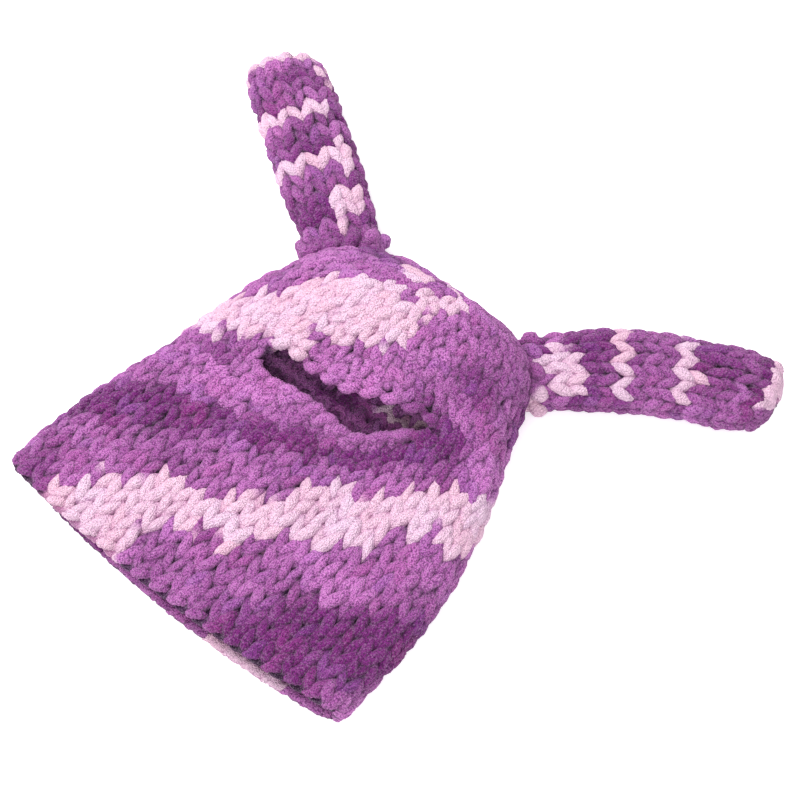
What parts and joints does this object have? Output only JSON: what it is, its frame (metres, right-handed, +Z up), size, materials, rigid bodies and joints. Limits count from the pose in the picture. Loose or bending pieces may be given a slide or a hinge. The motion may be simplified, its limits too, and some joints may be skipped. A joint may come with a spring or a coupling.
{
  "type": "baby hood hat with ears",
  "caption": "Chunky knitted baby hood lying on its back, with a neck opening, an eye slit and long floppy ears sewn to the crown.",
  "frame": {"origin": "middle of the whole outline seen from above, on the surface that the hat lies on", "axes": "+X across the hat towards its right ear as seen from above, +Y from the neck opening towards the crown, +Z up from the surface"},
  "size_m": [0.3758, 0.327, 0.061],
  "materials": {
    "chenille_knit": "chunky chenille stocking stitch in purples with bands of pale pink"
  },
  "bodies": {
    "root": {"hood": "chenille_knit", "ear_left": "chenille_knit", "ear_right": "chenille_knit"}
  },
  "joints": []
}
